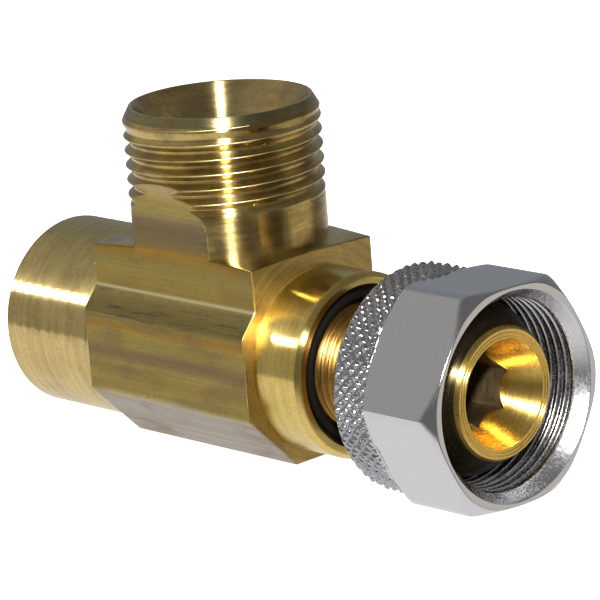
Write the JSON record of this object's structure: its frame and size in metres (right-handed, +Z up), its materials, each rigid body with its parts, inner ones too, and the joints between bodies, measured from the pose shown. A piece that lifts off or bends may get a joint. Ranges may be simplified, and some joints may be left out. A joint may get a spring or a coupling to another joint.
{
  "type": "flare fitting",
  "caption": "Brass pipe tee with male-threaded end and branch ports and a chrome swivel nut on a screwed-in tail with a cone seat.",
  "frame": {"origin": "under the middle of the fitting's bounding box, on the plane it stands on; the run axis is 11.5 mm above it", "axes": "+X along the run towards the swivel nut, +Z up along the branch, +Y completes the right-handed frame"},
  "size_m": [0.0644, 0.025, 0.0368],
  "materials": {
    "turned_brass": "extruded and turned, bare",
    "polished_brass": "turned, bright",
    "chrome_plate": "polished chrome plate",
    "black_rubber": "moulded, semi-gloss"
  },
  "bodies": {
    "tee": {"tee_body": "turned_brass"},
    "ring": {"tail_o_ring": "black_rubber"},
    "tail": {"swivel_tail": "polished_brass"},
    "nut": {"swivel_nut": "chrome_plate"}
  },
  "joints": [
    {"name": "tail_travel", "type": "slide", "parent": "tee", "child": "ring", "axis": [1, 0, 0], "range_m": [0, 0.00799]},
    {"name": "tail_turn", "type": "hinge", "parent": "ring", "child": "tail", "pos_m": [0.01342, 0, 0.0115], "axis": [1, 0, 0], "range_deg": [0, 2880]},
    {"name": "nut_spin", "type": "hinge", "parent": "tail", "child": "nut", "pos_m": [0.02343, 0, 0.0115], "axis": [1, 0, 0], "continuous": true}
  ],
  "couplings": [
    {"joint": "tail_turn", "follows": "tail_travel", "rad_per_m": 6283.2}
  ]
}
